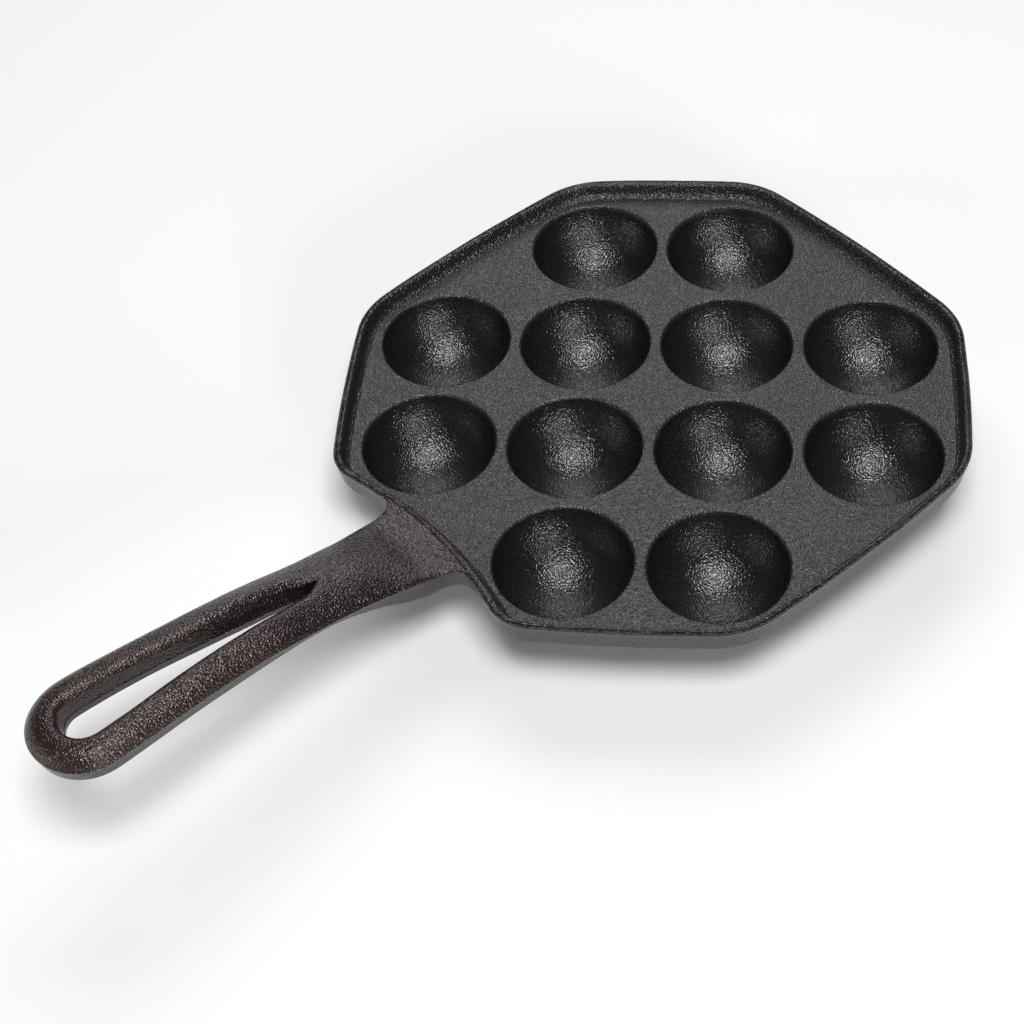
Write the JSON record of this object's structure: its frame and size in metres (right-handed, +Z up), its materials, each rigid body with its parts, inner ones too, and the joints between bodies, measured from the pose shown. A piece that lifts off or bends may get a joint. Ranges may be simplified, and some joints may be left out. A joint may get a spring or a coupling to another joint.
{
  "type": "takoyaki pan",
  "caption": "Cast iron takoyaki pan: octagonal plate of round cups inside a raised rim, with a slotted loop handle that rises away from the plate.",
  "frame": {"origin": "bottom centre of the bounding box, on the surface the pan stands on", "axes": "+Z up, cups opening upward; the handle reaches toward -Y; +X to the right seen from the handle"},
  "size_m": [0.1876, 0.316, 0.0478],
  "materials": {
    "deck_iron": "seasoned, fine sand-cast texture",
    "cup_iron": "seasoned, fine sand-cast texture, slightly glossy",
    "handle_iron": "seasoned, worn to a copper-brown sheen"
  },
  "bodies": {
    "root": {"deck": "deck_iron", "rim": "deck_iron", "cup_01": "cup_iron", "cup_02": "cup_iron", "cup_03": "cup_iron", "cup_04": "cup_iron", "cup_05": "cup_iron", "cup_06": "cup_iron", "cup_07": "cup_iron", "cup_08": "cup_iron", "cup_09": "cup_iron", "cup_10": "cup_iron", "cup_11": "cup_iron", "cup_12": "cup_iron", "handle_neck": "handle_iron", "handle_loop": "handle_iron"}
  },
  "joints": []
}
